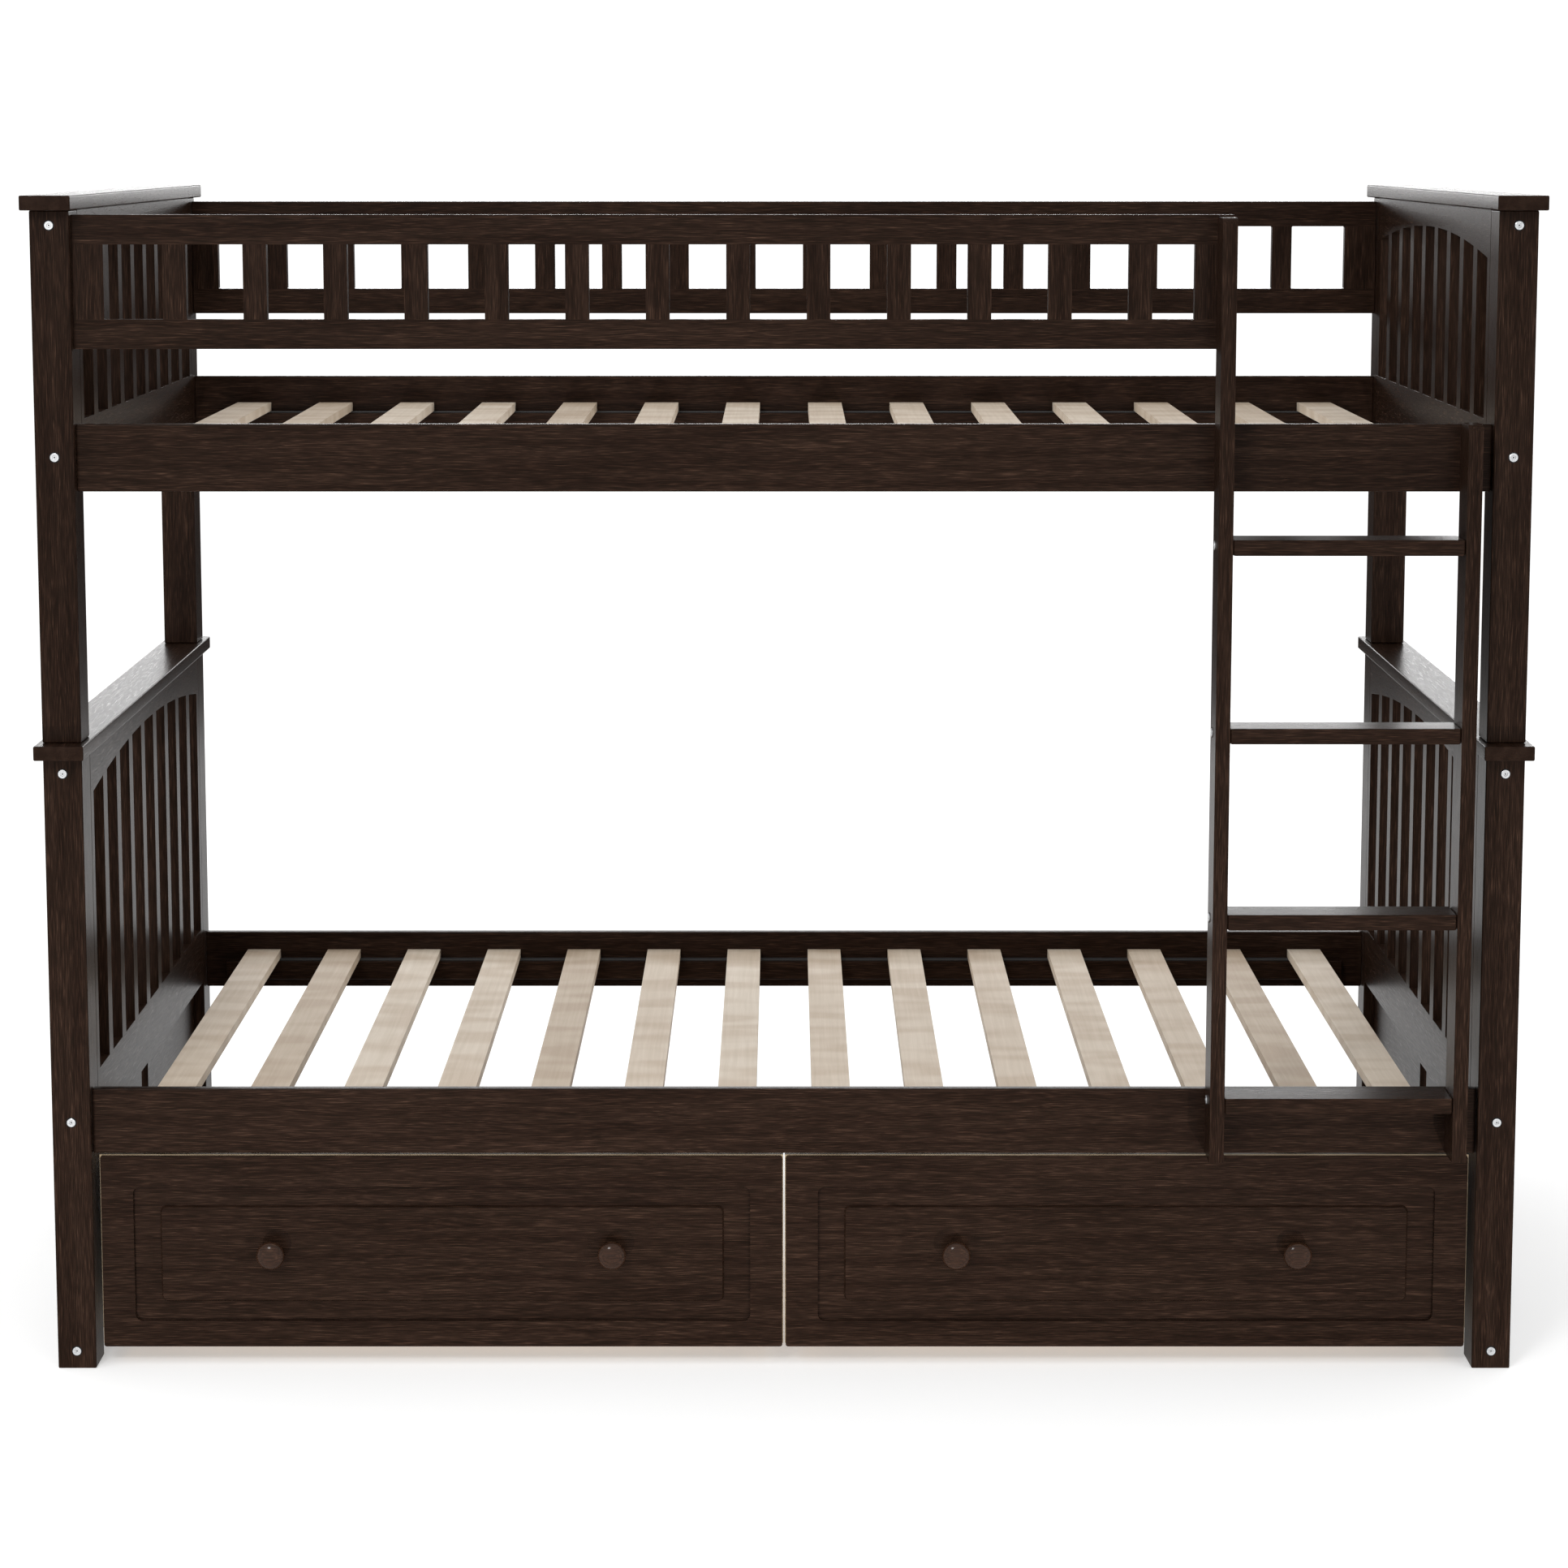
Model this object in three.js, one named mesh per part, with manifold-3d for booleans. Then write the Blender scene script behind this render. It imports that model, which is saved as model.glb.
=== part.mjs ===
// A twin bunk bed in espresso-stained wood: four corner posts in two tiers, arched end panels with spindles,
// slatted mattress bases, guard rails, a fixed ladder at the front right, and two drawers on wheels below.
// Millimetres, +Z up, +X to the right along the bed, the front faces -Y.
// The origin is on the floor, at the centre of the whole bed's footprint.
import * as THREE from "three";
import { mergeVertices } from "three/addons/utils/BufferGeometryUtils.js";
import Module from "manifold-3d";

// ---- overall sizes ----
const bedLength = 2030; // over the outer faces of the posts
const bedWidth = 1048; // from the front posts' front faces to the rear posts' rear faces
const lowerPostHeight = 865.5;
const upperPostHeight = 725;
const clear = 0.3; // gap between pieces that touch

// ---- posts and caps ----
const postX = 53.5; // along the bed
const postY = 59; // across the bed
const capThickness = 20;
const capOverX = 7.5; // how far a cap stands out past the posts, along the bed
const capOverY = 28; // and across it

// ---- end panels ----
const endRailThickness = 36;
const spindleThickness = 20;
const spindleWidth = 29;
const spindleCount = 8;
const endStileWidth = 19;
const crossRailHeight = 90;
const archRise = 32;
const lowerArchDepth = 28; // depth of the arched rail at its middle
const upperArchDepth = 34;
const crossRailTenon = 6; // how far a spindle runs into the rails above and below it
const lowerCrossAboveRail = 14; // top of the cross rail over the top of the side rail
const upperCrossAboveRail = 3;

// ---- skirt boards under the lower cross rails ----
const skirtThickness = 18;
const skirtSlot = 53;
const skirtFloorGap = 8;

// ---- side rails, cleats and slats ----
const railHeight = 92;
const railThickness = 15;
const railSetback = 15; // behind the posts' outer faces
const lowerRailTop = 397;
const upperRailAboveCap = 436; // top of the upper side rail over the foot of the upper post
const cleatHeight = 31;
const cleatDepth = 20;
const cleatEndGap = 36;
const slatCount = 14;
const slatWidth = 54.5;
const slatThickness = 14;
const slatEndGap = 69.75; // from the end panel to the first slat
const lowerSlatDrop = 29; // slat tops under the top of the side rail
const upperSlatDrop = 43;
const strapThickness = 1.5;
const strapWidth = 14;
const strapInset = 2; // of a strap's edge and ends behind those of the slats
const strapBond = 0.2; // how far a strap is pressed into the slats it is stapled to

// ---- guard rails ----
const guardHeight = 181;
const guardBelowPostTop = 6;
const guardRailHeight = 40;
const guardThickness = 15;
const guardLeftStile = 42;
const guardRightStile = 51;
const guardSlatWidth = 32;
const guardSlatPitch = 108.8;
const guardFirstGap = 79.5;
const guardLastGap = 40; // the least gap before the right stile

// ---- ladder ----
const ladderWidth = 354;
const ladderPostGap = 22.5; // to the right post
const ladderRailX = 20;
const ladderRailY = 58.5;
const ladderRounding = 9; // radius at the rails' upper corners
const stepCount = 4;
const stepThickness = 21.5;
const stepFrontInset = 1.5;
const topStepDrop = 152; // top step under the top of the upper side rail
const bottomStepRise = 1; // bottom step over the top of the lower side rail
const ladderFootRise = 3; // ladder foot over the underside of the lower side rail
const leftRailDrop = 3; // top of the tall rail under the guard rail's top
const rightRailRise = 3; // top of the short rail over the upper side rail's top

// ---- drawers ----
const drawerFrontThickness = 18;
const drawerTopGap = 4; // under the side rail
const drawerFloorGap = 26.5;
const drawerPostGap = 8.75;
const drawerMiddleGap = 4.5;
const drawerDepth = 520; // of the box behind the front
const boxInset = 22; // of the box sides behind the edges of the front
const boxBoard = 12;
const boxTopDrop = 51; // of the box under the top of the front
const bottomBoard = 6;
const wheelTopGap = 7.5; // from the top of a wheel to the bottom board
const routedBorder = 45; // flat border left and right of the routed channel
const routedTop = 44;
const routedBottom = 37;
const channelX = 39; // width of the routed channel, left and right
const channelZ = 30; // and above and below
const routedDepth = 5;
const fieldDrop = 0.8; // raised field behind the border
const fieldSlope = 3; // width of the sloping wall round the field
const routedRadius = 10;
const fieldRadius = 7;
const frontCorner = 3.5; // radius of the front board's corners
const knobRadius = 20;
const knobLength = 30;
const wheelRadius = 30;
const wheelWidth = 16;
const wheelLift = 0.5; // under a wheel, so that its facets clear the floor as it turns
const wheelEndGap = 120; // from the ends of the box to the wheels' axles
const axleRadius = 4;
const axleEdge = 8.5; // from the axle's middle to the lower edge of a side board
const axleClear = 0.5;
const wheelSideGap = 2; // between a wheel and its side board
const hubRadius = 9;

// ---- levels and places that follow ----
const insideX = bedLength / 2 - postX; // inner faces of the posts
const frontY = -bedWidth / 2;
const insideY = bedWidth / 2 - postY;
const lowerCapBase = lowerPostHeight + clear;
const upperPostBase = lowerCapBase + capThickness + clear;
const upperPostTop = upperPostBase + upperPostHeight;
const upperCapBase = upperPostTop + clear;
const upperRailTop = upperPostBase + upperRailAboveCap;
const railOuterY = frontY + railSetback; // the front rail's outer face; the rear one mirrors it
const railInnerY = railOuterY + railThickness;
const guardTop = upperPostTop - guardBelowPostTop;
const drawerTop = lowerRailTop - railHeight - drawerTopGap;
const ladderLeft = insideX - ladderPostGap - ladderWidth;
const ladderRight = insideX - ladderPostGap;
const ladderFrontY = railOuterY - clear - ladderRailY;
const footprintMiddle = (ladderFrontY + bedWidth / 2 + capOverY) / 2;

// ---- finishes ----
const finish = (color, roughness, metalness = 0) =>
  new THREE.MeshStandardMaterial({ color, roughness, metalness });
const espresso = finish(0x2b211d, 0.42);
const birch = finish(0xcbbba3, 0.6);
const naturalWood = finish(0xc9ab80, 0.6);
const knobBrown = finish(0x33261f, 0.25);
const wheelBlack = finish(0x1c1c1c, 0.5);

const wasm = await Module();
wasm.setup();

// The bed's own frame is centred between the posts, and bed is moved so that the footprint is centred.
const bed = new THREE.Group();
bed.position.y = -footprintMiddle;

// ---- solids ----
function solid(geometry) {
  const bare = geometry.clone();
  bare.deleteAttribute("normal");
  bare.deleteAttribute("uv");
  const merged = mergeVertices(bare, 1e-4);
  return new wasm.Manifold(
    new wasm.Mesh({
      numProp: 3,
      vertProperties: new Float32Array(merged.attributes.position.array),
      triVerts: new Uint32Array(merged.index.array),
    }),
  );
}

function geometryOf(made) {
  const mesh = made.getMesh();
  const geometry = new THREE.BufferGeometry();
  geometry.setAttribute("position", new THREE.BufferAttribute(mesh.vertProperties, 3));
  geometry.setIndex(new THREE.BufferAttribute(mesh.triVerts, 1));
  geometry.computeVertexNormals();
  return geometry;
}

function add(name, geometry, material, parent = bed) {
  const mesh = new THREE.Mesh(geometry, material);
  mesh.name = name;
  parent.add(mesh);
  return mesh;
}

// A board between its low and high corners.
function boardGeometry([x0, y0, z0], [x1, y1, z1]) {
  const geometry = new THREE.BoxGeometry(x1 - x0, y1 - y0, z1 - z0);
  geometry.translate((x0 + x1) / 2, (y0 + y1) / 2, (z0 + z1) / 2);
  return geometry;
}

function board(name, low, high, material = espresso) {
  return add(name, boardGeometry(low, high), material);
}

const boardSolid = (low, high) => solid(boardGeometry(low, high));
const joined = (solids) => solids.reduce((whole, next) => whole.add(next));

// A closed body between two loops with the same number of points, each loop anticlockwise about the line
// from the first loop to the second.
function loft(first, second) {
  const n = first.length;
  const positions = [...first, ...second].flat();
  const triangles = [];
  for (let i = 0; i < n; i++) {
    const next = (i + 1) % n;
    triangles.push(i, next, n + next, i, n + next, n + i);
    if (i > 0 && i < n - 1) {
      triangles.push(0, i + 1, i, n, n + i, n + i + 1);
    }
  }
  const geometry = new THREE.BufferGeometry();
  geometry.setAttribute("position", new THREE.Float32BufferAttribute(positions, 3));
  geometry.setIndex(triangles);
  return solid(geometry);
}

// ---- posts and caps ----
const ends = [
  { side: "left", sign: -1 },
  { side: "right", sign: 1 },
];
const faces = [
  { face: "front", sign: -1 },
  { face: "rear", sign: 1 },
];

// Low and high corners of a box that lies between a and b on either side of the middle.
const span = (a, b) => [Math.min(a, b), Math.max(a, b)];

function makePosts() {
  for (const end of ends) {
    const [x0, x1] = span(end.sign * insideX, end.sign * (insideX + postX));
    for (const face of faces) {
      const [y0, y1] = span(face.sign * insideY, face.sign * (insideY + postY));
      board(`post_lower_${face.face}_${end.side}`, [x0, y0, 0], [x1, y1, lowerPostHeight]);
      board(`post_upper_${face.face}_${end.side}`, [x0, y0, upperPostBase], [x1, y1, upperPostTop]);
    }
    const low = [x0 - capOverX, frontY - capOverY];
    const high = [x1 + capOverX, -frontY + capOverY];
    board(`cap_lower_${end.side}`, [...low, lowerCapBase], [...high, lowerCapBase + capThickness]);
    board(`cap_upper_${end.side}`, [...low, upperCapBase], [...high, upperCapBase + capThickness]);
  }
}

// ---- end panels: an arched rail, stiles, spindles and a cross rail, glued into one frame ----
function makeEndPanel(name, sign, base, top, archDepth) {
  const halfWidth = insideY - clear;
  const halfChord = halfWidth - endStileWidth;
  const archRadius = (halfChord ** 2 + archRise ** 2) / (2 * archRise);
  const apex = top - archDepth;
  const halfAngle = Math.asin(halfChord / archRadius);
  const face = sign * insideX;
  const away = (distance) => span(face, face + sign * distance);

  // The arched rail's outline: shape x is across the bed, shape y is height.
  const outline = new THREE.Shape();
  outline.moveTo(halfWidth, apex - archRise);
  outline.lineTo(halfWidth, top);
  outline.lineTo(-halfWidth, top);
  outline.lineTo(-halfWidth, apex - archRise);
  outline.absarc(0, apex - archRadius, archRadius, Math.PI / 2 + halfAngle, Math.PI / 2 - halfAngle, true);
  const arched = new THREE.ExtrudeGeometry(outline, {
    depth: endRailThickness,
    bevelEnabled: false,
    curveSegments: 24,
  });
  arched.applyMatrix4(
    new THREE.Matrix4().makeBasis(
      new THREE.Vector3(0, 1, 0),
      new THREE.Vector3(0, 0, 1),
      new THREE.Vector3(1, 0, 0),
    ),
  );
  arched.translate(away(endRailThickness)[0], 0, 0);

  const [rail0, rail1] = away(endRailThickness);
  const [thin0, thin1] = away(spindleThickness);
  const crossTop = base + crossRailHeight;
  const pieces = [
    solid(arched),
    boardSolid([rail0, -halfWidth, base], [rail1, halfWidth, crossTop]),
  ];
  for (const face of faces) {
    const [y0, y1] = span(face.sign * halfChord, face.sign * halfWidth);
    pieces.push(
      boardSolid([thin0, y0, crossTop - crossRailTenon], [thin1, y1, apex - archRise + crossRailTenon]),
    );
  }
  const gap = (2 * halfChord - spindleCount * spindleWidth) / (spindleCount + 1);
  for (let i = 0; i < spindleCount; i++) {
    const y0 = -halfChord + gap + i * (spindleWidth + gap);
    pieces.push(
      boardSolid([thin0, y0, crossTop - crossRailTenon], [thin1, y0 + spindleWidth, apex + crossRailTenon]),
    );
  }
  add(name, geometryOf(joined(pieces)), espresso);
}

function makeEnds() {
  const lowerBase = lowerRailTop + lowerCrossAboveRail - crossRailHeight;
  const upperBase = upperRailTop + upperCrossAboveRail - crossRailHeight;
  for (const end of ends) {
    makeEndPanel(`end_panel_lower_${end.side}`, end.sign, lowerBase, lowerPostHeight, lowerArchDepth);
    makeEndPanel(`end_panel_upper_${end.side}`, end.sign, upperBase, upperPostTop, upperArchDepth);
    const near = insideX + (postX - skirtThickness) / 2;
    const [x0, x1] = span(end.sign * near, end.sign * (near + skirtThickness));
    for (const face of faces) {
      const [y0, y1] = span((face.sign * skirtSlot) / 2, face.sign * (insideY - clear));
      board(`skirt_${face.face}_${end.side}`, [x0, y0, skirtFloorGap], [x1, y1, lowerBase - clear]);
    }
  }
}

// ---- side rails, cleats and slats ----
function makeBunk(tier, railTop, slatDrop) {
  const slatBase = railTop - slatDrop - slatThickness;
  const strapBase = slatBase - strapThickness;
  const cleatTop = strapBase - clear;
  const railEnd = insideX - clear;
  const cleatEnd = insideX - cleatEndGap;
  for (const { face, sign } of faces) {
    const [y0, y1] = span(-sign * railOuterY, -sign * railInnerY);
    board(`side_rail_${tier}_${face}`, [-railEnd, y0, railTop - railHeight], [railEnd, y1, railTop]);
    const back = -railInnerY - clear;
    const [c0, c1] = span(sign * back, sign * (back - cleatDepth));
    board(`cleat_${tier}_${face}`, [-cleatEnd, c0, cleatTop - cleatHeight], [cleatEnd, c1, cleatTop]);
  }

  const slatEnd = -railInnerY - 2 * clear;
  const strapEnd = slatEnd - strapInset;
  const reach = insideX - slatEndGap - slatWidth / 2;
  const pitch = (2 * reach) / (slatCount - 1);
  const pieces = [];
  for (let i = 0; i < slatCount; i++) {
    const x = -reach + i * pitch;
    pieces.push(
      boardSolid([x - slatWidth / 2, -slatEnd, slatBase], [x + slatWidth / 2, slatEnd, slatBase + slatThickness]),
    );
  }
  const strapReach = reach + slatWidth / 2 - strapInset;
  for (const { sign } of faces) {
    const [y0, y1] = span(sign * strapEnd, sign * (strapEnd - strapWidth));
    pieces.push(boardSolid([-strapReach, y0, strapBase], [strapReach, y1, slatBase + strapBond]));
  }
  add(`slat_roll_${tier}`, geometryOf(joined(pieces)), birch);
}

// ---- guard rails: two long rails, two stiles and flat slats ----
function makeGuard(name, x0, x1, y0, y1) {
  const base = guardTop - guardHeight;
  const upright = (from, to) =>
    boardSolid([from, y0, base + guardRailHeight / 2], [to, y1, guardTop - guardRailHeight / 2]);
  const pieces = [
    boardSolid([x0, y0, base], [x1, y1, base + guardRailHeight]),
    boardSolid([x0, y0, guardTop - guardRailHeight], [x1, y1, guardTop]),
    boardSolid([x0, y0, base], [x0 + guardLeftStile, y1, guardTop]),
    boardSolid([x1 - guardRightStile, y0, base], [x1, y1, guardTop]),
  ];
  const first = x0 + guardLeftStile + guardFirstGap;
  const last = x1 - guardRightStile - guardLastGap - guardSlatWidth;
  for (let x = first; x <= last; x += guardSlatPitch) {
    pieces.push(upright(x, x + guardSlatWidth));
  }
  add(name, geometryOf(joined(pieces)), espresso);
}

function makeGuards() {
  const end = insideX - clear;
  const inner = railOuterY + guardThickness;
  makeGuard("guard_rail_front", -end, ladderLeft + ladderRailX + 1, railOuterY, inner);
  makeGuard("guard_rail_rear", -end, end, -inner, -railOuterY);
}

// ---- ladder ----
// A rail's side profile is a long board with rounded upper corners, drawn in Y and Z.
function ladderRailGeometry(x0, base, top) {
  const back = ladderFrontY + ladderRailY;
  const outline = new THREE.Shape();
  outline.moveTo(ladderFrontY, base);
  outline.lineTo(back, base);
  outline.absarc(back - ladderRounding, top - ladderRounding, ladderRounding, 0, Math.PI / 2, false);
  outline.absarc(ladderFrontY + ladderRounding, top - ladderRounding, ladderRounding, Math.PI / 2, Math.PI, false);
  const geometry = new THREE.ExtrudeGeometry(outline, {
    depth: ladderRailX,
    bevelEnabled: false,
    curveSegments: 6,
  });
  geometry.applyMatrix4(
    new THREE.Matrix4().makeBasis(
      new THREE.Vector3(0, 1, 0),
      new THREE.Vector3(0, 0, 1),
      new THREE.Vector3(1, 0, 0),
    ),
  );
  geometry.translate(x0, 0, 0);
  return geometryOf(solid(geometry));
}

function makeLadder() {
  const base = lowerRailTop - railHeight + ladderFootRise;
  add("ladder_rail_left", ladderRailGeometry(ladderLeft, base, guardTop - leftRailDrop), espresso);
  add(
    "ladder_rail_right",
    ladderRailGeometry(ladderRight - ladderRailX, base, upperRailTop + rightRailRise),
    espresso,
  );
  const bottom = lowerRailTop + bottomStepRise;
  const pitch = (upperRailTop - topStepDrop - bottom) / (stepCount - 1);
  for (let i = 0; i < stepCount; i++) {
    const top = bottom + i * pitch;
    board(
      `ladder_step_${i + 1}`,
      [ladderLeft + ladderRailX + clear, ladderFrontY + stepFrontInset, top - stepThickness],
      [ladderRight - ladderRailX - clear, railOuterY - clear, top],
    );
  }
}

// ---- drawers ----
// Points of a rounded rectangle in a plane of constant y, anticlockwise seen from the front.
function roundedLoop(x0, x1, z0, z1, radius, y) {
  const loop = [];
  const corners = [
    [x1 - radius, z0 + radius, -0.5],
    [x1 - radius, z1 - radius, 0],
    [x0 + radius, z1 - radius, 0.5],
    [x0 + radius, z0 + radius, 1],
  ];
  const steps = 5;
  for (const [cx, cz, start] of corners) {
    for (let i = 0; i <= steps; i++) {
      const angle = (start + (0.5 * i) / steps) * Math.PI;
      loop.push([cx + radius * Math.cos(angle), y, cz + radius * Math.sin(angle)]);
    }
  }
  return loop;
}

// The front board has a routed channel with a square outer wall and a sloping wall round its raised field.
function drawerFrontGeometry(x0, x1) {
  const edge = [x0, x1, drawerFloorGap, drawerTop, frontCorner];
  const blank = loft(roundedLoop(...edge, railOuterY + drawerFrontThickness), roundedLoop(...edge, railOuterY));
  const outer = [x0 + routedBorder, x1 - routedBorder, drawerFloorGap + routedBottom, drawerTop - routedTop];
  const inner = [outer[0] + channelX, outer[1] - channelX, outer[2] + channelZ, outer[3] - channelZ];
  const foot = [inner[0] - fieldSlope, inner[1] + fieldSlope, inner[2] - fieldSlope, inner[3] + fieldSlope];
  const floorY = railOuterY + routedDepth;
  const pocket = loft(
    roundedLoop(...outer, routedRadius, floorY),
    roundedLoop(...outer, routedRadius, railOuterY - 1),
  );
  const field = loft(
    roundedLoop(...foot, fieldRadius + fieldSlope, floorY + 1),
    roundedLoop(...inner, fieldRadius, railOuterY + fieldDrop),
  );
  return geometryOf(blank.subtract(pocket.subtract(field)));
}

// A turned knob: a short neck on a flange, and a flattened ball.
function knobGeometry() {
  const neck = knobRadius * 0.42;
  const ball = new THREE.Vector2(0, knobLength - knobRadius * 0.55);
  const profile = [
    new THREE.Vector2(0, 0),
    new THREE.Vector2(neck * 1.5, 0),
    new THREE.Vector2(neck * 1.35, 2.5),
    new THREE.Vector2(neck, 5.5),
    new THREE.Vector2(neck, 9),
  ];
  const steps = 9;
  for (let i = 0; i <= steps; i++) {
    const angle = -0.34 * Math.PI + (0.84 * Math.PI * i) / steps;
    profile.push(
      new THREE.Vector2(
        i === steps ? 0 : knobRadius * Math.cos(angle),
        ball.y + knobRadius * 0.55 * Math.sin(angle),
      ),
    );
  }
  return new THREE.LatheGeometry(profile, 24);
}

// A wheel with a hub on one side and a moulded axle stub, along +Y of the lathe from the hub's face.
function wheelGeometry(stub) {
  const tread = stub + wheelSideGap / 2;
  const profile = [
    [0, 0],
    [axleRadius, 0],
    [axleRadius, stub],
    [hubRadius, stub],
    [hubRadius, tread],
    [wheelRadius, tread],
    [wheelRadius, tread + wheelWidth],
    [0, tread + wheelWidth],
  ];
  return new THREE.LatheGeometry(
    profile.map(([r, h]) => new THREE.Vector2(r, h)),
    24,
  );
}

function makeDrawer(side, x0, x1) {
  const drawer = new THREE.Group();
  bed.add(drawer);
  const name = (piece) => `drawer_${side}_${piece}`;
  add(name("front"), drawerFrontGeometry(x0, x1), espresso, drawer);

  const y0 = railOuterY + drawerFrontThickness + clear;
  const y1 = y0 + drawerDepth;
  const left = x0 + boxInset;
  const right = x1 - boxInset;
  const top = drawerTop - boxTopDrop;
  const axleZ = wheelRadius + wheelLift;
  const stub = boxBoard + wheelSideGap / 2;
  const axles = [y0 + wheelEndGap, y1 - wheelEndGap];
  for (const { side: hand, sign } of ends) {
    const outer = sign < 0 ? left : right;
    const [s0, s1] = span(outer, outer - sign * boxBoard);
    let wall = boardSolid([s0, y0, axleZ - axleEdge], [s1, y1, top]);
    axles.forEach((y, i) => {
      const hole = new THREE.CylinderGeometry(axleRadius + axleClear, axleRadius + axleClear, 3 * boxBoard, 16);
      hole.rotateZ(Math.PI / 2);
      hole.translate((s0 + s1) / 2, y, axleZ);
      wall = wall.subtract(solid(hole));
      const wheel = add(name(`wheel_${faces[i].face}_${hand}`), wheelGeometry(stub), wheelBlack, drawer);
      wheel.position.set(outer, y, axleZ);
      wheel.rotation.z = (sign * Math.PI) / 2;
    });
    add(name(`side_${hand}`), geometryOf(wall), naturalWood, drawer);
  }
  const inner0 = left + boxBoard + clear;
  const inner1 = right - boxBoard - clear;
  const floor = axleZ + wheelRadius + wheelTopGap;
  drawer.add(
    board(name("back"), [inner0, y1 - boxBoard, floor], [inner1, y1, top], naturalWood),
    board(
      name("bottom"),
      [inner0, y0, floor],
      [inner1, y1 - boxBoard - clear, floor + bottomBoard],
      naturalWood,
    ),
  );

  ends.forEach(({ side: hand, sign }) => {
    const knob = add(name(`knob_${hand}`), knobGeometry(), knobBrown, drawer);
    knob.rotation.x = Math.PI;
    knob.position.set(
      (x0 + x1) / 2 + (sign * (x1 - x0)) / 4,
      railOuterY + fieldDrop - clear,
      (drawerFloorGap + drawerTop) / 2,
    );
  });
}

makePosts();
makeEnds();
makeBunk("lower", lowerRailTop, lowerSlatDrop);
makeBunk("upper", upperRailTop, upperSlatDrop);
makeGuards();
makeLadder();
makeDrawer("left", -insideX + drawerPostGap, -drawerMiddleGap / 2);
makeDrawer("right", drawerMiddleGap / 2, insideX - drawerPostGap);

const group = new THREE.Group();
group.add(bed);

export default group;
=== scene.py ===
"""A twin bunk bed in espresso-stained wood: finishes for the joinery, and its fine turned and metal pieces.

Everything is in metres, with the floor at z 0, the bed's length along X and its front towards -Y.
"""

import math

import bpy
import numpy as np
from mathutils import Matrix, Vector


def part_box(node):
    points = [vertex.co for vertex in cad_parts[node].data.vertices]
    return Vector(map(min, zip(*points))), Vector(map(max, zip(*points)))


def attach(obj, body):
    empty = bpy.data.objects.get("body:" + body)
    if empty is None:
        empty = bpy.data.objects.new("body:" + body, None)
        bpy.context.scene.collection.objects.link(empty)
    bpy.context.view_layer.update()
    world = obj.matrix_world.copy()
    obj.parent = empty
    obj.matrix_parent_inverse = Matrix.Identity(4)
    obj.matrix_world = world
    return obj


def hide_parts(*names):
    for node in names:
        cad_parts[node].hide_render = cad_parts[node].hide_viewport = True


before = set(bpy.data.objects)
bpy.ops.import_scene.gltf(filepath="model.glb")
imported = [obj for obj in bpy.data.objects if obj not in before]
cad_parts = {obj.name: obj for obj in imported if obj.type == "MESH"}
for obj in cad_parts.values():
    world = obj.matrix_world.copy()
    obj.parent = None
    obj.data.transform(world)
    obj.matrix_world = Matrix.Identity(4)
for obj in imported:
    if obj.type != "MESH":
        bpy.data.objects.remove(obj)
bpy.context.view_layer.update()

MM = 0.001
SIDES = ("left", "right")
FACES = ("front", "rear")
TIERS = ("lower", "upper")


# ---- camera, floor and light ----
def make_camera():
    """A long lens at standing eye height in front of the bed, a little over the upper guard rail."""
    data = bpy.data.cameras.new("camera")
    data.lens = 83.4
    data.sensor_width = 36
    data.shift_y = -0.12
    camera = bpy.data.objects.new("camera", data)
    camera.location = (0, -5.422, 1.709)
    camera.rotation_euler = (math.radians(90 - 7.2), 0, 0)
    bpy.context.scene.collection.objects.link(camera)
    bpy.context.scene.camera = camera


def make_floor():
    """A wide light table: a smooth white floor with a glow of its own that thins the shadows on it, and which
    lets the low spots under it through."""
    reach = 60
    mesh = bpy.data.meshes.new("floor")
    corners = [(-reach, -reach, 0), (reach, -reach, 0), (reach, reach, 0), (-reach, reach, 0)]
    mesh.from_pydata(corners, [], [(0, 1, 2, 3)])
    floor = bpy.data.objects.new("floor", mesh)
    bpy.context.scene.collection.objects.link(floor)
    material = bpy.data.materials.new("white_light_table")
    material.use_nodes = True
    paint = material.node_tree.nodes["Principled BSDF"]
    paint.inputs["Base Color"].default_value = (0.66, 0.66, 0.66, 1)
    paint.inputs["Emission Color"].default_value = (1, 1, 1, 1)
    paint.inputs["Emission Strength"].default_value = 0.36
    paint.inputs["Roughness"].default_value = 0.9
    mesh.materials.append(material)
    floor.visible_shadow = False


def aimed(place, target):
    """The rotation that turns a light at a place to its target."""
    aim = np.array(target, float) - np.array(place, float)
    return math.acos(-aim[2] / np.linalg.norm(aim)), 0, math.atan2(aim[0], -aim[1]) + math.pi


def make_softbox(name, place, target, width, height, power):
    """A softbox of that size, aimed at the target, which the camera doesn't see."""
    data = bpy.data.lights.new(name, "AREA")
    data.shape = "RECTANGLE"
    data.size = width
    data.size_y = height
    data.energy = power
    light = bpy.data.objects.new(name, data)
    light.location = place
    light.rotation_euler = aimed(place, target)
    light.visible_camera = False
    bpy.context.scene.collection.objects.link(light)


def make_low_spot(name, side):
    """A small spot below the floor line, out to one side, which throws the knobs' shadows up and inwards."""
    data = bpy.data.lights.new(name, "SPOT")
    data.energy = 260
    data.shadow_soft_size = 0.05
    data.spot_size = math.radians(38)
    data.spot_blend = 1.0
    light = bpy.data.objects.new(name, data)
    light.location = (side * 1.64, -3.2, -1.4)
    light.rotation_euler = aimed(light.location, (side * 0.55, -0.5, 0.25))
    light.visible_glossy = False
    bpy.context.scene.collection.objects.link(light)


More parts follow.
